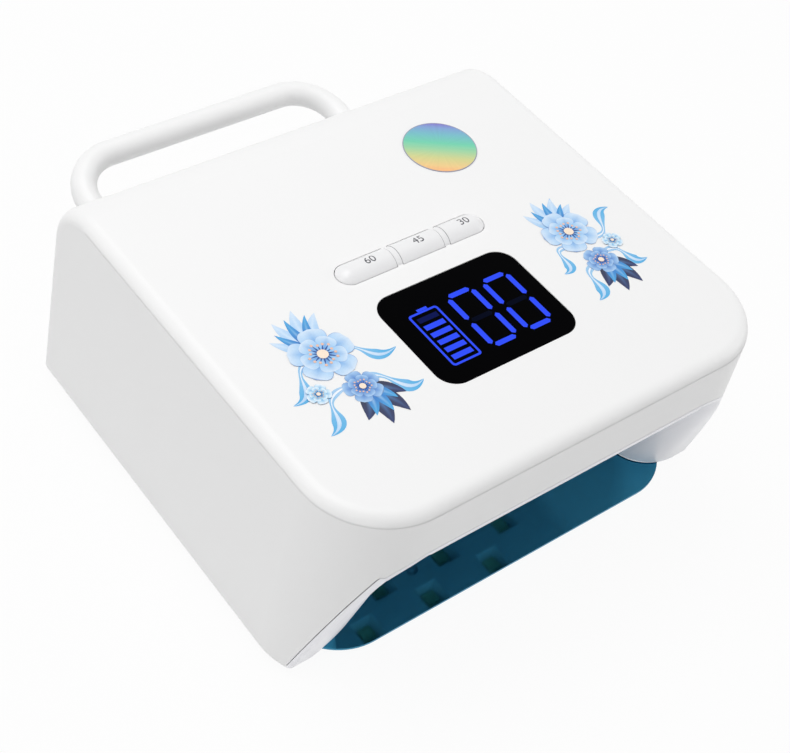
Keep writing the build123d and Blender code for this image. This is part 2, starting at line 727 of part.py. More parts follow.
def charge_board():
    y = charge_board_back()
    board = block(-17, 17, y - BOARD, y, SOCKET_Z - 10, SOCKET_Z + 16)
    for x in CHARGE_POSTS_X:
        board -= along_y(x, CHARGE_POST_Z, y - 5, y + 5, 1.4)
    return board


def charge_screws():
    y = charge_board_back() - BOARD
    screws = []
    for x in CHARGE_POSTS_X:
        head = along_y(x, CHARGE_POST_Z, y - 1.6, y, 2.4) - along_y(x, CHARGE_POST_Z, y - 2.0, y - 0.8, 1.1)
        screws.append(head + along_y(x, CHARGE_POST_Z, y, y + 7.5, 1.0))
    return screws


def mirror_base_plate():
    w, f, b = PLATE_HALF_WIDTH, PLATE_FRONT, PLATE_BACK
    sheet = block(-w, w, f, b, PLATE_LOW, PLATE_HIGH)
    uprights = sheet.edges().filter_by(Axis.Z).group_by(Axis.Y)
    sheet = fillet(uprights[0], PLATE_FRONT_RADIUS)
    uprights = sheet.edges().filter_by(Axis.Z).group_by(Axis.Y)
    sheet = fillet(uprights[-1], PLATE_BACK_RADIUS)
    sheet = chamfer(sheet.edges().group_by(Axis.Z)[0], PLATE_BEVEL)
    for x, y in MAGNET_SPOTS:
        sheet -= post(x, y, PLATE_HIGH - 1.0, PLATE_HIGH + 1, MAGNET_RADIUS)
    return sheet


def lead(points, bend, radius):
    """An inner lead: a round wire along straight runs joined by arcs."""
    path = FilletPolyline(*points, radius=bend)
    start = Plane(origin=points[0], z_dir=path % 0)
    return sweep(start * Circle(radius), path=path)


def battery_lead():
    """From the battery's left tab forward and round to the control board's plug."""
    x = -CELL_LENGTH - 5.2
    y = (CELL_ROWS_Y[0] + CELL_ROWS_Y[1]) / 2
    z = CONTROL_Z - 2.5
    points = [(x, y, z), (x - 9.0, y, z), (x - 9.0, -42.0, z), (-38.0, -42.0, z)]
    return lead(points, 8.0, 1.1)


def connectors():
    """Plug housings on the lamp board, the side boards, the charging board and the battery tray."""
    z = CEILING_Z + LINER_SLAB + BOARD
    side_x = CAVITY_HALF_WIDTH + LINER_SLAB + BOARD
    charge_y = charge_board_back() - BOARD
    tray_y = CELL_ROWS_Y[1] + 12
    blocks = [
        block(28, 38, -68, -60, z, z + 5),
        block(4, 14, charge_y - 4, charge_y, SOCKET_Z - 6, SOCKET_Z + 2),
        block(4, 14, tray_y, tray_y + 3, TRAY_Z + 1.5, TRAY_Z + 6.5),
    ]
    for side in (-1, 1):
        blocks.append(block(*sorted((side * 74, side * 81)), -28, -18, z, z + 4))
        blocks.append(block(*sorted((side * side_x, side * (side_x + 4))), -28, -18, 38, 46))
    return blocks


def led_lead():
    """From the control board's plug down to the lamp board's plug."""
    low = CEILING_Z + LINER_SLAB + BOARD + 2.5
    high = CONTROL_Z - 2.5
    points = [(33.0, -46.0, high), (33.0, -53.0, high), (33.0, -53.0, low), (33.0, -60.0, low)]
    return lead(points, 3.3, 1.1)


def side_lead(side):
    """From a side board's plug up and over the lamp board's edge."""
    x = CAVITY_HALF_WIDTH + LINER_SLAB + BOARD + 2.0
    z = CEILING_Z + LINER_SLAB + BOARD + 2.0
    points = [(side * x, -23.0, 46.0), (side * x, -23.0, z), (side * 81.0, -23.0, z)]
    return lead(points, 8.0, 1.1)


def charge_lead():
    """From the charging board's plug up to the battery tray's plug."""
    y = charge_board_back() - BOARD - 2.0
    z = TRAY_Z + 4.0
    points = [(9.0, y, SOCKET_Z + 2.0), (9.0, y, z), (9.0, CELL_ROWS_Y[1] + 15.0, z)]
    return lead(points, 9.0, 1.1)


def export(name, shape):
    """Write one node; a list of shapes becomes one group of separate solids."""
    solids = shape if isinstance(shape, list) else [shape]
    flat = [solid for item in solids for solid in item.solids()]
    export_step(flat[0] if len(flat) == 1 else Compound(children=flat), "parts/" + name + ".step")


def nodes():
    """Every node's name and shape."""
    yield "upper_housing", upper_housing()
    yield "reflector_liner", reflector_liner()
    yield "base_ring", base_ring()
    yield "housing_screws", [screw(x, y, BOTTOM_Z + 0.2, BOTTOM_Z + 2.0, 22.0, 1.4, 3.0) for x, y in HOUSING_SCREWS]
    yield "carry_handle", carry_handle()
    yield "handle_washers", handle_washers()
    yield "handle_screws", handle_screws()
    yield "display_window", display_window()
    yield "display_module", display_module()
    yield "control_board", control_board()
    yield "board_parts", board_parts()
    yield "board_screws", [screw(x, y, CONTROL_Z - 1.6, CONTROL_Z, CONTROL_Z + 8.0, 1.0, 2.2) for x, y in CONTROL_POSTS]
    for i, name in enumerate(KEY_NAMES):
        yield name, timer_key(i)
        yield name.replace("key", "plunger"), switch_plunger(i)
    yield "tact_switches", [switch_body(i) for i in range(3)]
    yield "battery_cells", battery_cells()
    yield "battery_tray", battery_tray()
    yield "battery_contacts", battery_contacts()
    top = TRAY_Z + 1.5
    yield "tray_screws", [screw(x, y, top, top + 1.8, top - 5.0, 1.1, 2.6) for x, y in TRAY_POSTS]
    yield "battery_lead", battery_lead()
    yield "led_board", led_board()
    yield "led_lead", led_lead()
    yield "connectors", connectors()
    yield "side_lead_left", side_lead(-1)
    yield "side_lead_right", side_lead(1)
    yield "ceiling_beads", ceiling_beads()
    high = CEILING_Z + LINER_SLAB + BOARD
    yield "led_board_screws", [screw(x, y, high, high + 1.6, high - 5.0, 1.2, 2.6) for x, y in LED_BOARD_SCREWS]
    for side, word in ((-1, "left"), (1, "right")):
        yield "side_board_" + word, side_board(side)
        yield "side_beads_" + word, side_beads(side)
    yield "side_screws", side_screws()
    yield "hand_sensor", hand_sensor()
    yield "charge_socket", charge_socket()
    yield "charge_board", charge_board()
    yield "charge_screws", charge_screws()
    yield "charge_lead", charge_lead()
    yield "base_magnets", [post(x, y, BOTTOM_Z, BOTTOM_Z + 3.0, MAGNET_RADIUS) for x, y in MAGNET_SPOTS]
    yield "mirror_base_plate", mirror_base_plate()
    yield "catch_discs", posts(MAGNET_SPOTS, PLATE_HIGH - 1.0, PLATE_HIGH, MAGNET_RADIUS - 0.1)
    yield "plate_feet", posts(FOOT_SPOTS, 0.0, PLATE_LOW, FOOT_RADIUS)
    yield "round_badge", post(BADGE_X, BADGE_Y, TOP_Z, TOP_Z + BADGE_THICKNESS, BADGE_RADIUS)


def main():
    os.makedirs("parts", exist_ok=True)
    for name, shape in nodes():
        export(name, shape)
        print("wrote", name)


if __name__ == "__main__":
    main()
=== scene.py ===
"""Looks of the cordless nail lamp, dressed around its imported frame. All lengths are in metres."""
from math import cos, pi, radians, sin, sqrt

import bmesh
import bpy
from mathutils import Matrix, Vector


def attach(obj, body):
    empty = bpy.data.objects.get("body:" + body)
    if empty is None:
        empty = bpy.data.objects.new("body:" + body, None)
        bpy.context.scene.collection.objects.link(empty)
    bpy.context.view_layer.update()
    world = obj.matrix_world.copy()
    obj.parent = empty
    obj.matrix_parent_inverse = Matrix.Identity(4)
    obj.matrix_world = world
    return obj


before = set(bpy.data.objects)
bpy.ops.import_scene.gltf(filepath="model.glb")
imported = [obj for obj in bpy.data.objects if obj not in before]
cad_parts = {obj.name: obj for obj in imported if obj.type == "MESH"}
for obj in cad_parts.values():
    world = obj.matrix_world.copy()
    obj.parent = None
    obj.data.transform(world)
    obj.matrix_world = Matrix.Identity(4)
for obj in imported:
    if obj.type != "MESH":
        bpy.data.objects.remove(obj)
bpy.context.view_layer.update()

HOUSING = "housing"
MM = 0.001


def node_box(node):
    """The lowest and the highest corner of a carried-over node."""
    points = [vert.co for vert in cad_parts[node].data.vertices]
    return [Vector([pick(point[axis] for point in points) for axis in range(3)]) for pick in (min, max)]


# The flat top of the lamp, level with the window, and the lower edge of the housing
TOP_Z = node_box("display_window")[1].z
FOOT_Z = node_box("upper_housing")[0].z


# Colour and node helpers

def colour(red, green, blue):
    """A colour written as screen values from 0 to 255, turned to Blender's linear values."""
    def linear(value):
        value /= 255
        return value / 12.92 if value <= 0.04045 else ((value + 0.055) / 1.055) ** 2.4
    return (linear(red), linear(green), linear(blue), 1.0)


def add_node(tree, kind, inputs=None, **settings):
    """A shader node with its settings; each input is a value, or a socket that it follows."""
    node = tree.nodes.new(kind)
    for name, value in settings.items():
        setattr(node, name, value)
    for name, value in (inputs or {}).items():
        if isinstance(value, bpy.types.NodeSocket):
            tree.links.new(value, node.inputs[name])
        else:
            node.inputs[name].default_value = value
    return node


GRAIN_DEPTH = 0.00002
EDGE_SAMPLES = 6
NOISE_LOW, NOISE_HIGH = 0.3, 0.7


class Finish:
    """A material being built: short ways to add nodes and join them to its shader."""

    def __init__(self, name):
        self.material = bpy.data.materials.new(name)
        self.material.use_nodes = True
        self.tree = self.material.node_tree
        self.shader = self.tree.nodes["Principled BSDF"]

    def set(self, **values):
        for name, value in values.items():
            self.shader.inputs[name.replace("_", " ")].default_value = value

    def node(self, kind, inputs=None, **settings):
        return add_node(self.tree, kind, inputs, **settings)

    def join(self, socket, target):
        self.tree.links.new(socket, self.shader.inputs[target])

    def place(self):
        return self.node("ShaderNodeTexCoord").outputs["Object"]

    def bump(self, height, strength, edge=0.0):
        """Surface grain, and edges that catch the light as if they were rounded by edge."""
        node = self.node("ShaderNodeBump",
                         {"Height": height, "Strength": strength, "Distance": GRAIN_DEPTH})
        if edge:
            softened = self.node("ShaderNodeBevel", {"Radius": edge}, samples=EDGE_SAMPLES)
            self.tree.links.new(softened.outputs[0], node.inputs["Normal"])
        self.join(node.outputs["Normal"], "Normal")

    def vary(self, tone, noise, darkest, lightest):
        """A tone made a little darker and lighter by a noise."""
        lift = self.node("ShaderNodeMapRange", {"Value": noise, "From Min": NOISE_LOW,
                                                "From Max": NOISE_HIGH, "To Min": darkest,
                                                "To Max": lightest})
        varied = self.node("ShaderNodeVectorMath",
                           {0: tone, "Scale": lift.outputs[0]}, operation="SCALE")
        return varied.outputs[0]


FLOAT = "NodeSocketFloat"
COLOR = "NodeSocketColor"
DRIFT_SCALE = 18.0


def moulded_group():
    """Moulded plastic: a slow drift of tone, fine polished grain, and a little roughness drift."""
    tree = bpy.data.node_groups.new("moulded_plastic", "ShaderNodeTree")
    for label, kind in (("Tone", COLOR), ("Drift", FLOAT), ("Grain Size", FLOAT), ("Roughness", FLOAT),
                        ("Roughness Drift", FLOAT)):
        tree.interface.new_socket(label, in_out="INPUT", socket_type=kind)
    for label, kind in (("Color", COLOR), ("Roughness", FLOAT), ("Height", FLOAT)):
        tree.interface.new_socket(label, in_out="OUTPUT", socket_type=kind)
    given = tree.nodes.new("NodeGroupInput").outputs
    put = tree.nodes.new("NodeGroupOutput").inputs
    place = add_node(tree, "ShaderNodeTexCoord").outputs["Object"]
    slow = add_node(tree, "ShaderNodeTexNoise", {"Vector": place, "Scale": DRIFT_SCALE, "Detail": 3.0})
    fine = add_node(tree, "ShaderNodeTexNoise",
                    {"Vector": place, "Scale": given["Grain Size"], "Detail": 2.0})
    centred = add_node(tree, "ShaderNodeMath", {0: slow.outputs["Fac"], 1: 0.5}, operation="SUBTRACT")
    shift = add_node(tree, "ShaderNodeMath",
                     {0: centred.outputs[0], 1: given["Drift"], 2: 1.0}, operation="MULTIPLY_ADD")
    toned = add_node(tree, "ShaderNodeVectorMath",
                     {0: given["Tone"], "Scale": shift.outputs[0]}, operation="SCALE")
    rough = add_node(tree, "ShaderNodeMath",
                     {0: centred.outputs[0], 1: given["Roughness Drift"], 2: given["Roughness"]},
                     operation="MULTIPLY_ADD")
    tree.links.new(toned.outputs[0], put["Color"])
    tree.links.new(rough.outputs[0], put["Roughness"])
    tree.links.new(fine.outputs["Fac"], put["Height"])
    return tree


MOULDED = moulded_group()


def moulded(name, tone, roughness, drift, grain, unevenness):
    """A finish whose tone and roughness drift slowly, with the height of its fine grain."""
    finish = Finish(name)
    group = finish.node("ShaderNodeGroup", {"Tone": tone, "Drift": drift, "Grain Size": grain,
                                            "Roughness": roughness, "Roughness Drift": unevenness},
                        node_tree=MOULDED)
    finish.join(group.outputs["Color"], "Base Color")
    finish.join(group.outputs["Roughness"], "Roughness")
    return finish, group.outputs["Height"]


def plastic(name, tone, roughness, drift=0.02, grain=2500.0, bump=0.05, edge=0.0):
    """A moulded plastic finish."""
    finish, height = moulded(name, tone, roughness, drift, grain, unevenness=roughness * 0.25)
    finish.bump(height, bump, edge)
    return finish


def metal(name, tone, roughness):
    """A plated metal with fine uneven polish."""
    finish, height = moulded(name, tone, roughness, drift=0.12, grain=900.0, unevenness=roughness * 0.6)
    finish.bump(height, strength=0.12)
    finish.set(Metallic=1.0)
    return finish


def dress(node, finish):
    """Give one carried-over CAD node its finish."""
    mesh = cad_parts[node].data
    mesh.materials.clear()
    mesh.materials.append(finish.material)


# Finishes of the moulded, metal and inner parts

WHITE = colour(241, 241, 241)
EDGE_ROUNDING = 0.0006
SATIN_SPECULAR = 0.35
shell_white = plastic("satin white shell", WHITE, 0.42, drift=0.012, bump=0.03, edge=EDGE_ROUNDING)
shell_white.set(Specular_IOR_Level=SATIN_SPECULAR)
liner_white = plastic("pale liner", colour(251, 251, 255), 0.30, drift=0.02, bump=0.04, edge=EDGE_ROUNDING)
handle_white = plastic("satin white handle", WHITE, 0.42, drift=0.012, bump=0.03)
handle_white.set(Specular_IOR_Level=SATIN_SPECULAR)
key_white = plastic("satin white key", colour(236, 236, 237), 0.32, drift=0.01, bump=0.03)
window_black = plastic("black window", colour(2, 2, 3), 0.2, drift=0.1, bump=0.01)
window_black.set(Specular_IOR_Level=0.01)
rubber_black = plastic("matt rubber", colour(32, 32, 34), 0.75, drift=0.15, grain=1200.0, bump=0.3)
part_black = plastic("black moulded part", colour(26, 26, 28), 0.5, drift=0.1, bump=0.1)
board_green = plastic("green board", colour(20, 92, 52), 0.35, drift=0.12, grain=700.0, bump=0.15)
board_white = plastic("white lamp board", colour(226, 228, 228), 0.3, drift=0.04, grain=700.0, bump=0.1)
wrap_blue = plastic("blue cell wrap", colour(34, 100, 170), 0.25, drift=0.08, bump=0.05)
nylon = plastic("natural nylon plug", colour(228, 222, 200), 0.42, drift=0.05, bump=0.08)
jacket_red = plastic("red lead jacket", colour(170, 28, 24), 0.4, drift=0.08, bump=0.1)
plunger_brown = plastic("brown plunger", colour(120, 44, 34), 0.45, drift=0.08)
lens_milky = plastic("milky sensor lens", colour(226, 226, 234), 0.3, drift=0.02)
bead_gel = plastic("lamp bead gel", colour(228, 234, 186), 0.25, drift=0.15, grain=600.0, bump=0.1)
steel = metal("zinc plated screw", colour(196, 198, 202), 0.32)
nickel = metal("nickel plate", colour(208, 204, 194), 0.25)

DRESSING = {
    shell_white: ("upper_housing", "base_ring"),
    liner_white: ("reflector_liner",),
    handle_white: ("carry_handle",),
    key_white: ("key_60", "key_45", "key_30"),
    window_black: ("display_window",),
    part_black: ("display_module", "board_parts", "tact_switches", "battery_tray", "charge_socket"),
    board_green: ("control_board", "charge_board"),
    board_white: ("led_board", "side_board_left", "side_board_right"),
    wrap_blue: ("battery_cells",),
    nylon: ("connectors",),
    jacket_red: ("battery_lead", "led_lead", "side_lead_left", "side_lead_right", "charge_lead"),
    plunger_brown: ("plunger_60", "plunger_45", "plunger_30"),
    lens_milky: ("hand_sensor",),
    bead_gel: ("ceiling_beads", "side_beads_left", "side_beads_right"),
    steel: ("housing_screws", "handle_washers", "handle_screws", "board_screws", "tray_screws",
            "led_board_screws", "side_screws", "charge_screws"),
    nickel: ("battery_contacts", "base_magnets", "catch_discs"),
    rubber_black: ("plate_feet",),
}
for finish, names in DRESSING.items():
    for name in names:
        dress(name, finish)


# Mirrored base plate

def mirror_finish():
    """A smooth teal mirror, very slightly uneven in tone and polish."""
    finish = moulded("teal mirror", colour(55, 134, 166), 0.06, drift=0.06, grain=400.0, unevenness=0.03)[0]
    finish.set(Metallic=1.0)
    return finish


dress("mirror_base_plate", mirror_finish())


# Round badge: a foil whose colour runs across it, with fine rays from its middle

badge_low, badge_high = node_box("round_badge")
BADGE_PLACE = (badge_low + badge_high) / 2
BADGE_RADIUS = (badge_high.x - badge_low.x) / 2
BADGE_TURN = 33.6
FOIL_RIM = 0.0004
FOIL_RIM_TONE = colour(148, 150, 168)
FOIL_RAYS = 9.0
FOIL_STOPS = ((0.0, (126, 108, 196)), (0.10, (124, 158, 208)), (0.24, (112, 184, 196)),
              (0.42, (108, 204, 170)), (0.56, (154, 208, 160)), (0.72, (206, 208, 140)),
              (0.88, (236, 202, 136)), (1.0, (248, 178, 122)))


def foil_finish():
    """From violet at one side of the badge through green to orange at the other, with a grey rim."""
    finish = Finish("rainbow foil")
    centred = finish.node("ShaderNodeVectorMath",
                          {0: finish.place(), 1: (BADGE_PLACE.x, BADGE_PLACE.y, 0.0)},
                          operation="SUBTRACT")
    turned = finish.node("ShaderNodeVectorRotate",
                         {"Vector": centred.outputs[0], "Angle": radians(BADGE_TURN)},
                         rotation_type="Z_AXIS")
    parts = finish.node("ShaderNodeSeparateXYZ", {0: turned.outputs[0]})
    share = finish.node("ShaderNodeMapRange", {"Value": parts.outputs["Y"], "From Min": BADGE_RADIUS,
                                               "From Max": -BADGE_RADIUS})
    ramp = finish.node("ShaderNodeValToRGB", {"Fac": share.outputs[0]})
    stops = ramp.color_ramp.elements
    while len(stops) < len(FOIL_STOPS):
        stops.new(0.5)
    for stop, (position, tone) in zip(stops, FOIL_STOPS):
        stop.position = position
        stop.color = colour(*tone)
    angle = finish.node("ShaderNodeMath",
                        {0: parts.outputs["Y"], 1: parts.outputs["X"]}, operation="ARCTAN2")
    rays = finish.node("ShaderNodeTexNoise", {"W": angle.outputs[0], "Scale": FOIL_RAYS, "Detail": 4.0},
                       noise_dimensions="1D")
    lit = finish.vary(ramp.outputs["Color"], rays.outputs["Fac"], 0.975, 1.03)
    flat = finish.node("ShaderNodeVectorMath",
                       {0: centred.outputs[0], 1: (1.0, 1.0, 0.0)}, operation="MULTIPLY")
    reach = finish.node("ShaderNodeVectorMath", {0: flat.outputs[0]}, operation="LENGTH")
    rim = finish.node("ShaderNodeMath", {0: reach.outputs["Value"], 1: BADGE_RADIUS - FOIL_RIM},
                      operation="GREATER_THAN")
    rimmed = finish.node("ShaderNodeMix",
                         {0: rim.outputs[0], 6: lit, 7: FOIL_RIM_TONE}, data_type="RGBA")
    finish.join(rimmed.outputs[2], "Base Color")
    grain = finish.node("ShaderNodeMapRange",
                        {"Value": rays.outputs["Fac"], "To Min": 0.32, "To Max": 0.5})
    finish.join(grain.outputs[0], "Roughness")
    return finish


dress("round_badge", foil_finish())


# New pieces: small helpers

def finish_piece(name, shape, finish, body=HOUSING, smooth=None):
    """Turn a finished bmesh into a piece that rides on a body."""
    mesh = bpy.data.meshes.new(name)
    bmesh.ops.remove_doubles(shape, verts=shape.verts, dist=1e-7)
    bmesh.ops.recalc_face_normals(shape, faces=shape.faces)
    shape.to_mesh(mesh)
    shape.free()
    piece = bpy.data.objects.new(name, mesh)
    bpy.context.scene.collection.objects.link(piece)
    mesh.materials.append(finish.material)
    if smooth is not None:
        mesh.shade_smooth()
        mesh.set_sharp_from_angle(angle=radians(smooth))
    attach(piece, body)


def thicken(shape, faces, move):
    """Give flat faces a thickness: a copy of them is pulled out along move."""
    grown = bmesh.ops.extrude_face_region(shape, geom=faces, use_keep_orig=True)
    verts = [item for item in grown["geom"] if isinstance(item, bmesh.types.BMVert)]
    bmesh.ops.translate(shape, verts=verts, vec=move)


def faces_round(verts):
    """The faces that meet at some vertices, each of them once and in a steady order."""
    return list(dict.fromkeys(face for vert in verts for face in vert.link_faces))


def add_tube(shape, points, radius, across, sides=10):
    """A thin round bead along points; across is a direction that no stretch of it follows."""
    turns = [2 * pi * k / sides for k in range(sides)]
    rings = []
    for i, point in enumerate(points):
        ahead = (points[min(i + 1, len(points) - 1)] - points[max(i - 1, 0)]).normalized()
        side = ahead.cross(Vector(across)).normalized()
        up = ahead.cross(side)
        spokes = [cos(turn) * side + sin(turn) * up for turn in turns]
        rings.append([shape.verts.new(point + radius * spoke) for spoke in spokes])
    for low, high in zip(rings, rings[1:]):
        for k in range(sides):
            shape.faces.new((low[k], low[k - 1], high[k - 1], high[k]))
    for ring in (rings[0], rings[-1]):
        shape.faces.new(ring)


# Polished bead along the edge of the mouth, under the fascia and round both feet

FOOT_Y = -0.1243
FASCIA_EDGE_Z = 0.0824
FASCIA_FACE_Y = -0.1469
FASCIA_HALF = 0.0765
FASCIA_STEPS = 40
INNER_HALF = 0.0855
NOSE_REACH = 0.0237
NOSE_DEPTH = 0.0187
NOSE_STEPS = 24
BEAD_RADIUS = 0.00035
BEAD_RISE = 0.15 * BEAD_RADIUS
BEAD_END_RISE = 2 * BEAD_RADIUS
BEAD_INSET = 0.4 * BEAD_RADIUS
NOSE_INSET = 0.3 * BEAD_RADIUS

edge_gloss = plastic("polished edge", colour(250, 250, 254), 0.12, drift=0.01, bump=0.01)
edge_gloss.set(IOR=2.6, Coat_Weight=0.6, Coat_Roughness=0.08)


def add_mouth_beads():
    """One bead under the fascia, whose ends sink into it, and one round each foot of the mouth."""
    shape = bmesh.new()
    straight = []
    for i in range(-FASCIA_STEPS, FASCIA_STEPS + 1):
        rise = BEAD_END_RISE if abs(i) == FASCIA_STEPS else BEAD_RISE
        straight.append(Vector((FASCIA_HALF * i / FASCIA_STEPS, FASCIA_FACE_Y + BEAD_INSET,
                                FASCIA_EDGE_Z + rise)))
    add_tube(shape, straight, BEAD_RADIUS, (0, 1, 0))
    for side in (-1, 1):
        foot = []
        for i in range(NOSE_STEPS + 1):
            turn = pi / 2 * i / NOSE_STEPS
            x = INNER_HALF + NOSE_REACH * (1 - sin(turn)) + NOSE_INSET
            y = FOOT_Y + NOSE_DEPTH * (1 - cos(turn)) + NOSE_INSET
            foot.append(Vector((side * x, y, FOOT_Z + BEAD_RADIUS)))
        add_tube(shape, foot, BEAD_RADIUS, (0, 0, 1))
    finish_piece("mouth_edge_bead", shape, edge_gloss, smooth=50)


add_mouth_beads()


# Display: a black window with lit blue figures

FIGURE_HEIGHT = 0.00004
SEGMENT_WIDTH = 0.0025
SEGMENT_TIP = 0.42 * SEGMENT_WIDTH
DIGITS_X = (0.0014, 0.0207)
DIGIT_HALF = 0.0064
DIGIT_ROWS = (-0.0602, -0.0761, -0.0919)
ACROSS_LENGTH = 0.0112
DOWN_LENGTH = 0.0135
BATTERY_X = (-0.0270, -0.0118)
BATTERY_Y = (-0.0930, -0.0611)
BATTERY_LINE = 0.00105
BATTERY_CORNERS = (0.0016, 0.0008)
BAR_X = -0.0193
BAR_SIZE = (0.0103, 0.0027)
BAR_FIRST_Y = -0.0655
BAR_PITCH = 0.00465
BAR_COUNT = 6
CAP_SIZE = (0.0052, 0.0014)
CAP_SHIFT = 0.0006
CAP_GAP = 0.0001


def glow_finish(name, tone, strength):
    """Black glass that gives off light of one tone."""
    finish = Finish(name)
    finish.set(Base_Color=colour(2, 2, 6), Roughness=0.3, Specular_IOR_Level=0.01, Emission_Color=tone,
               Emission_Strength=strength)
    return finish


lit_blue = glow_finish("lit blue figure", colour(52, 82, 255), 0.97)
half_lit = glow_finish("half lit bar", colour(15, 25, 86), 0.9)
unlit = glow_finish("unlit segment", colour(3, 8, 27), 0.9)


def lay_bar(shape, x, y, length, width, upright=False, tip=0.0):
    """A flat bar on the window, pointed at both ends when tip is given."""
    verts = bmesh.ops.create_grid(shape, x_segments=2, y_segments=2, size=0.5)["verts"]
    for vert in verts:
        along = vert.co.x * 2
        side = vert.co.y * 2
        reach = length / 2 - (tip if abs(side) > 0.5 else 0.0)
        vert.co = Vector((along * reach, side * width / 2, 0))
    if upright:
        bmesh.ops.rotate(shape, verts=verts, matrix=Matrix.Rotation(pi / 2, 3, "Z"))
    bmesh.ops.translate(shape, verts=verts, vec=(x, y, TOP_Z))
    thicken(shape, faces_round(verts), (0, 0, FIGURE_HEIGHT))


def add_figures():
    """Two digits with their middle bars unlit, and the charge bars, of which the top one is half lit."""
    lit, dim, top_bar = bmesh.new(), bmesh.new(), bmesh.new()
    for x in DIGITS_X:
        for row, y in enumerate(DIGIT_ROWS):
            lay_bar(dim if row == 1 else lit, x, y, ACROSS_LENGTH, SEGMENT_WIDTH, tip=SEGMENT_TIP)
        for upper, lower in zip(DIGIT_ROWS, DIGIT_ROWS[1:]):
            for side in (-1, 1):
                lay_bar(lit, x + side * DIGIT_HALF, (upper + lower) / 2, DOWN_LENGTH, SEGMENT_WIDTH,
                        upright=True, tip=SEGMENT_TIP)
    for i in range(BAR_COUNT):
        lay_bar(lit if i else top_bar, BAR_X, BAR_FIRST_Y - i * BAR_PITCH, *BAR_SIZE)
    finish_piece("lit_figures", lit, lit_blue)
    finish_piece("unlit_segments", dim, unlit)
    finish_piece("half_lit_bar", top_bar, half_lit)


def round_rectangle(half_x, half_y, radius, steps=6):
    """The points of a rounded rectangle round the origin, in order."""
    points = []
    for i, (sx, sy) in enumerate(((1, 1), (-1, 1), (-1, -1), (1, -1))):
        for k in range(steps + 1):
            turn = pi / 2 * (i + k / steps)
            points.append((sx * (half_x - radius) + radius * cos(turn),
                           sy * (half_y - radius) + radius * sin(turn)))
    return points


def add_battery_outline():
    """The rounded outline of the charge figure with its small cap."""
    shape = bmesh.new()
    half_x, half_y = (BATTERY_X[1] - BATTERY_X[0]) / 2, (BATTERY_Y[1] - BATTERY_Y[0]) / 2
    middle_x, middle_y = sum(BATTERY_X) / 2, sum(BATTERY_Y) / 2
    loops = []
    for shrink, radius in zip((0.0, BATTERY_LINE), BATTERY_CORNERS):
        points = round_rectangle(half_x - shrink, half_y - shrink, radius)
        loops.append([shape.verts.new((x + middle_x, y + middle_y, TOP_Z)) for x, y in points])
    outer, inner = loops
    band = [shape.faces.new((outer[k - 1], outer[k], inner[k], inner[k - 1])) for k in range(len(outer))]
    thicken(shape, band, (0, 0, FIGURE_HEIGHT))
    lay_bar(shape, BAR_X + CAP_SHIFT, BATTERY_Y[1] + CAP_SIZE[1] / 2 + CAP_GAP, *CAP_SIZE)
    finish_piece("charge_outline", shape, lit_blue)


add_figures()
add_battery_outline()


# Printed numbers on the keys

key_low, key_high = node_box("key_60")
KEY_ROW_Y = (key_low.y + key_high.y) / 2
KEY_HALF_WIDTH = 0.0062
KEY_RISE = key_high.z - TOP_Z
KEY_CROWN = (KEY_HALF_WIDTH ** 2 + KEY_RISE ** 2) / (2 * KEY_RISE)
NUMBERS = (("60", "key_60_body", -0.0223), ("45", "key_45_body", 0.0038), ("30", "key_30_body", 0.0293))
NUMBER_HEIGHT = 0.0041
NUMBER_Y = KEY_ROW_Y + 0.0006
FONT_PER_HEIGHT = 1.38
INK_HEIGHT = 0.00003

ink_grey = plastic("printed ink", colour(70, 70, 78), 0.5, drift=0.1, bump=0.02)


def crown_height(y):
    """The height of the keys' rounded top at y."""
    off = y - KEY_ROW_Y
    return TOP_Z + KEY_RISE - KEY_CROWN + sqrt(KEY_CROWN ** 2 - off ** 2)


def add_number(text, body, x):
    """A printed number that follows the rounded top of its key."""
    curve = bpy.data.curves.new("number_" + text, "FONT")
    curve.body = text
    curve.align_x = "CENTER"
    curve.align_y = "CENTER"
    curve.size = NUMBER_HEIGHT * FONT_PER_HEIGHT
    curve.resolution_u = 6
    holder = bpy.data.objects.new("number_" + text + "_curve", curve)
    bpy.context.scene.collection.objects.link(holder)
    flat = bpy.data.meshes.new_from_object(holder)
    bpy.data.objects.remove(holder)
    shape = bmesh.new()
    shape.from_mesh(flat)
    bpy.data.meshes.remove(flat)
    bmesh.ops.triangulate(shape, faces=shape.faces)
    bmesh.ops.subdivide_edges(shape, edges=shape.edges, cuts=1)
    bmesh.ops.translate(shape, verts=shape.verts, vec=(x, NUMBER_Y, 0))
    thicken(shape, shape.faces[:], (0, 0, INK_HEIGHT))
    for vert in shape.verts:
        vert.co.z += crown_height(vert.co.y)
    finish_piece("number_" + text, shape, ink_grey, body=body)


for text, body, x in NUMBERS:
    add_number(text, body, x)


# Caps on the fixed bridges between the keys, as broad as the keys

BRIDGE_SPANS = ((-0.0118, -0.0090), (0.0144, 0.0172))
BRIDGE_STEPS = 24
BRIDGE_SUNK = 0.00012
BRIDGE_FOOT = 0.0002


def add_bridge_caps():
    """Each cap is the keys' rounded section, a little lower than the keys, drawn across its bridge."""
    shape = bmesh.new()
    for start, end in BRIDGE_SPANS:
        arch = []
        for i in range(BRIDGE_STEPS + 1):
            y = KEY_ROW_Y + KEY_HALF_WIDTH * (2 * i / BRIDGE_STEPS - 1)
            arch.append(shape.verts.new((start, y, crown_height(y) - BRIDGE_SUNK)))
        for y in (KEY_ROW_Y + KEY_HALF_WIDTH, KEY_ROW_Y - KEY_HALF_WIDTH):
            arch.append(shape.verts.new((start, y, TOP_Z - BRIDGE_FOOT)))
        thicken(shape, [shape.faces.new(arch)], (end - start, 0, 0))
    finish_piece("key_bridge_caps", shape, key_white, smooth=40)


add_bridge_caps()


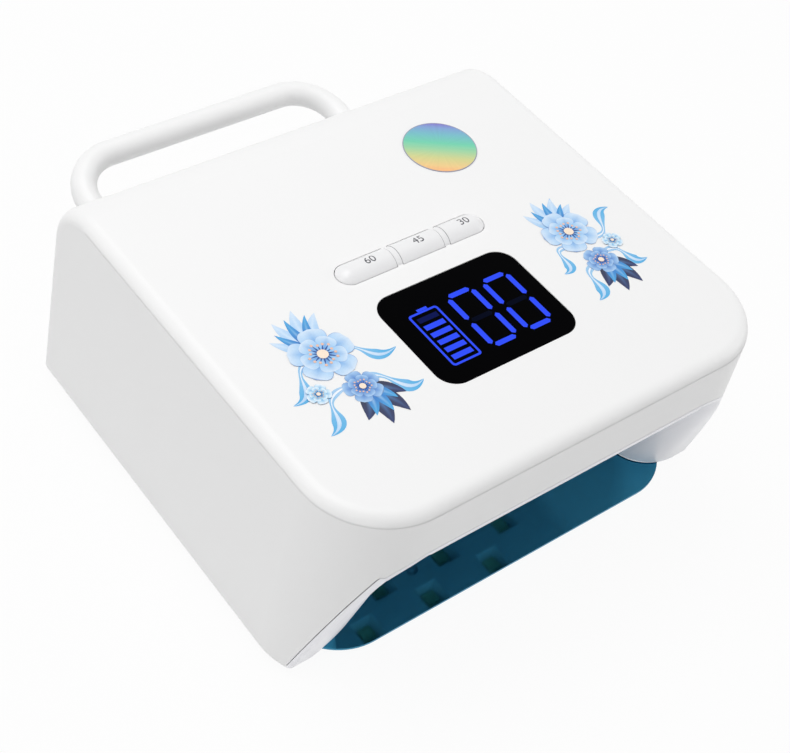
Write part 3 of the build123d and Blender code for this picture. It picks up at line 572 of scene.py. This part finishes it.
# Stickers: blossoms, leaves and ribbons, made of thin strips of ink, each a layer above the last

LAYER = 0.000004
STRIP_THICKNESS = 0.000012
STRIP_ROWS = 8
ROW_CROWDING = 2.2
OUTLINE_FROM = 0.99
MIDDLE_TO = 0.01
GLEAM_WIDTH = 0.3
LEAF_BEND = 0.14
PETALS = 5
PETAL_RINGS = ((1.0, 1.02, 0.0), (0.7, 0.74, 0.5))
STAMENS = 3 * PETALS
STAMEN_REACHES = (0.34, 0.42, 0.38)
STAMEN_WIDTH = 0.05
POLLEN_RADIUS = 0.045
HEART_RADIUS = 0.17
WHITE_INK = (244, 248, 253)
PALE = (214, 230, 247)
ICE = (174, 208, 240)
SKY = (116, 180, 236)
CYAN = (70, 168, 222)
DEEP = (40, 96, 184)
NAVY = (24, 42, 96)
NIGHT = (18, 24, 44)
CREAM = (248, 228, 208)
PEACH = (236, 192, 168)


def print_finish():
    """Ink whose colour is the piece's own tint, with a fine paper grain."""
    finish = Finish("sticker print")
    tint = finish.node("ShaderNodeAttribute", attribute_name="tint")
    grain = finish.node("ShaderNodeTexNoise", {"Vector": finish.place(), "Scale": 900.0, "Detail": 3.0})
    finish.join(finish.vary(tint.outputs["Color"], grain.outputs["Fac"], 0.97, 1.03), "Base Color")
    finish.set(Roughness=0.42)
    return finish


def mix_tone(low, high, share):
    """The tone that lies a share of the way from low to high."""
    return [a + (b - a) * share for a, b in zip(low, high)]


def on_path(path, t):
    """A point and heading on a curve that is drawn by three or four control points."""
    points = [Vector(p) for p in path]
    while len(points) > 2:
        points = [a.lerp(b, t) for a, b in zip(points, points[1:])]
    return points[0].lerp(points[1], t), (points[1] - points[0]).normalized()


def petal_form(t):
    """Narrow at the root and broadly rounded at the tip."""
    return 1.55 * t ** 0.75 * (1 - t ** 6) ** 0.5 * (1 - 0.35 * t)


def leaf_form(t):
    """Pointed at both ends and broadest before the middle."""
    return sin(pi * t ** 0.8) ** 0.9


def ribbon_form(t):
    """Pointed at both ends, with a waist."""
    return sin(pi * t) ** 0.55 * (0.62 + 0.38 * cos(2.6 * pi * t))


def disc_form(t):
    """Round at both ends, so that a strip as long as it is wide is a disc."""
    return 2 * sqrt(max(0.0, t * (1 - t)))


class Sticker:
    """One sticker being printed: each strip lies a little above the one before."""

    def __init__(self):
        self.shape = bmesh.new()
        self.tint = self.shape.verts.layers.float_color.new("tint")
        self.height = 0.0

    def strip(self, path, width, form, tones, steps):
        """A strip along a path in millimetres; its tones are root, tip, middle line and outline."""
        root, tip, line, edge = tones
        made = bmesh.ops.create_grid(self.shape, x_segments=steps, y_segments=STRIP_ROWS, size=0.5)
        for vert in made["verts"]:
            t = min(max(vert.co.x + 0.5, 0.0), 1.0)
            share = min(1.0, abs(vert.co.y) * 2)
            side = 1 - (1 - share) ** ROW_CROWDING
            here, ahead = on_path(path, t)
            reach = (side if vert.co.y > 0 else -side) * width / 2 * form(t)
            tone = mix_tone(root, tip, t)
            if share > OUTLINE_FROM:
                tone = edge
            elif share < MIDDLE_TO:
                tone = mix_tone(line, tone, t)
            vert.co = Vector(((here.x - ahead.y * reach) * MM, (here.y + ahead.x * reach) * MM,
                              TOP_Z + self.height))
            vert[self.tint] = colour(*tone)
        thicken(self.shape, faces_round(made["verts"]), (0, 0, STRIP_THICKNESS))
        self.height += LAYER

    def ray(self, centre, angle, start, end, width, form, tones, bend=0.0):
        """A strip that leaves a centre at an angle, with a sideways bend."""
        ahead = Vector((cos(angle), sin(angle)))
        side = Vector((-ahead.y, ahead.x))
        centre = Vector(centre)
        middle = centre + ahead * (start + end) / 2 + side * bend
        self.strip((centre + ahead * start, middle, centre + ahead * end), width, form, tones, steps=14)

    def disc(self, centre, radius, tone, edge):
        """A round spot with an outline."""
        path = ((centre[0] - radius, centre[1]), centre, (centre[0] + radius, centre[1]))
        self.strip(path, 2 * radius, disc_form, (tone, tone, tone, edge), steps=16)

    def ribbon(self, path, width):
        """A tapering ribbon that deepens towards its tip, with a pale gleam along its middle."""
        self.strip(path, width, ribbon_form, (ICE, CYAN, DEEP, CYAN), steps=44)
        self.strip(path, width * GLEAM_WIDTH, ribbon_form, (WHITE_INK, ICE, WHITE_INK, ICE), steps=44)

    def leaves(self, root, spread, tones):
        """Pointed leaves that fan out from one root; each is an angle, a length and a width."""
        for angle, length, width in spread:
            self.ray(root, radians(angle), 0.0, length, width, leaf_form, tones, LEAF_BEND * length)

    def blossom(self, centre, radius, turn, tones):
        """Two rings of round petals, stamens with pollen, and a warm heart; sizes are shares of radius."""
        root, tip, edge = tones
        petal = (root, tip, mix_tone(root, DEEP, 0.45), mix_tone(edge, tip, 0.35))
        for reach, width, shift in PETAL_RINGS:
            for i in range(PETALS):
                angle = turn + 2 * pi * (i + shift) / PETALS
                self.ray(centre, angle, 0.02 * radius, reach * radius, width * radius, petal_form, petal)
        for i in range(STAMENS):
            angle = turn + 2 * pi * i / STAMENS
            reach = STAMEN_REACHES[i % len(STAMEN_REACHES)] * radius
            self.ray(centre, angle, 0.0, reach, STAMEN_WIDTH * radius, leaf_form, (NAVY, DEEP, NAVY, DEEP))
            spot = (centre[0] + reach * cos(angle), centre[1] + reach * sin(angle))
            self.disc(spot, POLLEN_RADIUS * radius, PEACH, NAVY)
        self.disc(centre, HEART_RADIUS * radius, CREAM, PEACH)


# Tones of a leaf are root, tip, middle line and outline; those of a blossom root, tip and outline
DARK_LEAF = (NIGHT, NAVY, SKY, NIGHT)
BLUE_LEAF = (DEEP, CYAN, PALE, DEEP)
ICE_LEAF = (SKY, PALE, WHITE_INK, SKY)
SKY_BLOOM = (SKY, PALE, DEEP)
DEEP_BLOOM = (DEEP, ICE, NAVY)
PALE_BLOOM = (CYAN, WHITE_INK, DEEP)

# In millimetres and degrees: a ribbon is a path and a width; a fan of leaves is a root and each leaf's
# angle, length and width; a blossom is a place, a radius and a turn in radians
LEFT_RIBBONS = ((((-68, -64), (-50, -56), (-58, -78), (-41, -72)), 6.8),
                (((-66, -80), (-50, -76), (-56, -98), (-42, -92)), 7.6),
                (((-72, -62), (-92, -58), (-80, -80), (-96, -78)), 6.6),
                (((-72, -80), (-90, -80), (-78, -96), (-92, -98)), 7.0))
LEFT_LEAVES = (((-70, -58), ((60, 21, 6.0), (84, 24, 6.4), (112, 23, 6.0), (140, 20, 5.4)),
                ICE_LEAF),
               ((-70, -58), ((72, 20, 4.0), (98, 21, 4.2), (126, 19, 4.0)), BLUE_LEAF),
               ((-66, -84), ((-120, 17, 7.0), (-92, 21, 7.6), (-64, 21, 7.6), (-36, 17, 6.6)),
                DARK_LEAF),
               ((-66, -84), ((-106, 15, 4.6), (-78, 16, 4.8), (-50, 14, 4.6)), BLUE_LEAF))
LEFT_BLOSSOMS = (((-66, -83), 8.6, 0.4, DEEP_BLOOM),
                 ((-70, -61), 14.6, 0.15, SKY_BLOOM),
                 ((-84, -78), 5.4, 0.8, PALE_BLOOM))
RIGHT_RIBBONS = ((((74, -60), (92, -70), (84, -46), (98, -50)), 6.6),
                 (((64, -62), (50, -56), (62, -76), (50, -74)), 6.2),
                 (((68, -76), (52, -76), (66, -92), (53, -94)), 7.2),
                 (((74, -72), (90, -68), (78, -86), (91, -84)), 6.8))
RIGHT_LEAVES = (((70, -52), ((44, 18, 5.4), (70, 21, 6.0), (98, 22, 6.2), (126, 20, 5.6)),
                 ICE_LEAF),
                ((70, -52), ((57, 17, 3.8), (84, 19, 4.2), (112, 18, 4.0)), BLUE_LEAF),
                ((71, -76), ((-122, 16, 6.6), (-96, 20, 7.2), (-68, 20, 7.2), (-40, 16, 6.4)),
                 DARK_LEAF),
                ((71, -76), ((-109, 14, 4.4), (-82, 15, 4.6), (-54, 14, 4.4)), BLUE_LEAF))
RIGHT_BLOSSOMS = (((71, -75), 8.2, 0.9, DEEP_BLOOM),
                  ((70, -54), 13.4, 0.5, SKY_BLOOM),
                  ((84, -68), 5.0, 0.3, PALE_BLOOM))

sticker_print = print_finish()


def add_sticker(name, ribbons, leaves, blossoms):
    """Ribbons at the bottom, then the fans of leaves, and the blossoms on top."""
    sticker = Sticker()
    for ribbon in ribbons:
        sticker.ribbon(*ribbon)
    for fan in leaves:
        sticker.leaves(*fan)
    for blossom in blossoms:
        sticker.blossom(*blossom)
    finish_piece(name, sticker.shape, sticker_print)


add_sticker("left_sticker", LEFT_RIBBONS, LEFT_LEAVES, LEFT_BLOSSOMS)
add_sticker("right_sticker", RIGHT_RIBBONS, RIGHT_LEAVES, RIGHT_BLOSSOMS)


# Stage: floor and surround

PURE_WHITE = (1.0, 1.0, 1.0, 1.0)
FLOOR_GLOW = 0.94
FLOOR_TONE = colour(226, 226, 226)
FLOOR_SIZE = 8.0
WORLD_LIGHT = 0.44


def seen_share(tree):
    """1 for rays from the camera, off a gloss or through a clear part, and 0 for the others."""
    path = add_node(tree, "ShaderNodeLightPath")
    share = path.outputs["Is Camera Ray"]
    for ray in ("Is Glossy Ray", "Is Transmission Ray"):
        either = add_node(tree, "ShaderNodeMath", {0: share, 1: path.outputs[ray]}, operation="MAXIMUM")
        share = either.outputs[0]
    return share


def floor_finish():
    """A pale floor that keeps a soft shadow; the camera and reflections see it nearly white."""
    finish = Finish("white floor")
    finish.set(Base_Color=FLOOR_TONE, Roughness=0.9, Specular_IOR_Level=0.1)
    glow = finish.node("ShaderNodeEmission", {"Color": PURE_WHITE, "Strength": 1.0})
    share = finish.node("ShaderNodeMath",
                        {0: seen_share(finish.tree), 1: FLOOR_GLOW}, operation="MULTIPLY")
    mix = finish.node("ShaderNodeMixShader", {"Fac": share.outputs[0], 1: finish.shader.outputs[0],
                                              2: glow.outputs[0]})
    finish.tree.links.new(mix.outputs[0], finish.tree.nodes["Material Output"].inputs["Surface"])
    return finish


def add_floor():
    """A wide flat floor under the lamp."""
    mesh = bpy.data.meshes.new("floor")
    shape = bmesh.new()
    bmesh.ops.create_grid(shape, x_segments=1, y_segments=1, size=FLOOR_SIZE / 2)
    shape.to_mesh(mesh)
    shape.free()
    floor = bpy.data.objects.new("floor", mesh)
    bpy.context.scene.collection.objects.link(floor)
    mesh.materials.append(floor_finish().material)


def add_world():
    """A surround that lights the lamp softly and is seen as pure white."""
    world = bpy.data.worlds.new("studio")
    bpy.context.scene.world = world
    world.use_nodes = True
    tree = world.node_tree
    light = tree.nodes["Background"]
    light.inputs["Color"].default_value = PURE_WHITE
    light.inputs["Strength"].default_value = WORLD_LIGHT
    seen = add_node(tree, "ShaderNodeBackground", {"Color": PURE_WHITE, "Strength": 1.0})
    mix = add_node(tree, "ShaderNodeMixShader", {"Fac": seen_share(tree), 1: light.outputs[0],
                                                 2: seen.outputs[0]})
    tree.links.new(mix.outputs[0], tree.nodes["World Output"].inputs["Surface"])


# Lamps: name, place, what it aims at, size and power

LAMP_AIM = (0, 0, 0.05)
LAMPS = (("high softbox", (-0.3, 0.5, 1.8), LAMP_AIM, (1.6, 1.2), 21.6),
         ("left softbox", (-1.5, 0.1, 0.7), LAMP_AIM, (1.0, 1.2), 1.6),
         ("right softbox", (1.4, -0.7, 0.5), LAMP_AIM, (0.8, 0.8), 4.6),
         ("low fill", (-1.0, -1.15, 0.12), (0.08, -0.1, 0.03), (0.8, 0.2), 2.2))


def add_lamp(name, place, aim, size, power):
    """A rectangular lamp that faces the point it aims at."""
    light = bpy.data.lights.new(name, "AREA")
    light.shape = "RECTANGLE"
    light.size, light.size_y = size
    light.energy = power
    lamp = bpy.data.objects.new(name, light)
    lamp.location = place
    lamp.rotation_euler = (Vector(aim) - Vector(place)).to_track_quat("-Z", "Y").to_euler()
    bpy.context.scene.collection.objects.link(lamp)


# Camera: the photograph's place and angle, with its turn, drop and roll in degrees

CAMERA_PLACE = (-0.3595, -0.3897, 0.5716)
CAMERA_TURN = -45.33
CAMERA_DROP = 46.63
CAMERA_ROLL = -11.47
CAMERA_LENS = 71.84
CAMERA_SENSOR = 36.0
CAMERA_REACH = 20.0


def add_camera():
    """The camera, turned about the upright, tipped down and then rolled."""
    turn, drop, roll = radians(CAMERA_TURN), radians(CAMERA_DROP), radians(CAMERA_ROLL)
    ahead = Vector((-sin(turn) * cos(drop), cos(turn) * cos(drop), -sin(drop)))
    level = Vector((cos(turn), sin(turn), 0.0))
    down = ahead.cross(level)
    right = cos(roll) * level + sin(roll) * down
    lower = -sin(roll) * level + cos(roll) * down
    data = bpy.data.cameras.new("camera")
    data.lens = CAMERA_LENS
    data.sensor_width = CAMERA_SENSOR
    data.clip_end = CAMERA_REACH
    camera = bpy.data.objects.new("camera", data)
    turned = Matrix((right, -lower, -ahead)).transposed().to_4x4()
    camera.matrix_world = Matrix.Translation(CAMERA_PLACE) @ turned
    bpy.context.scene.collection.objects.link(camera)
    bpy.context.scene.camera = camera


add_floor()
add_world()
for lamp in LAMPS:
    add_lamp(*lamp)
add_camera()
bpy.context.scene.view_settings.view_transform = "Standard"
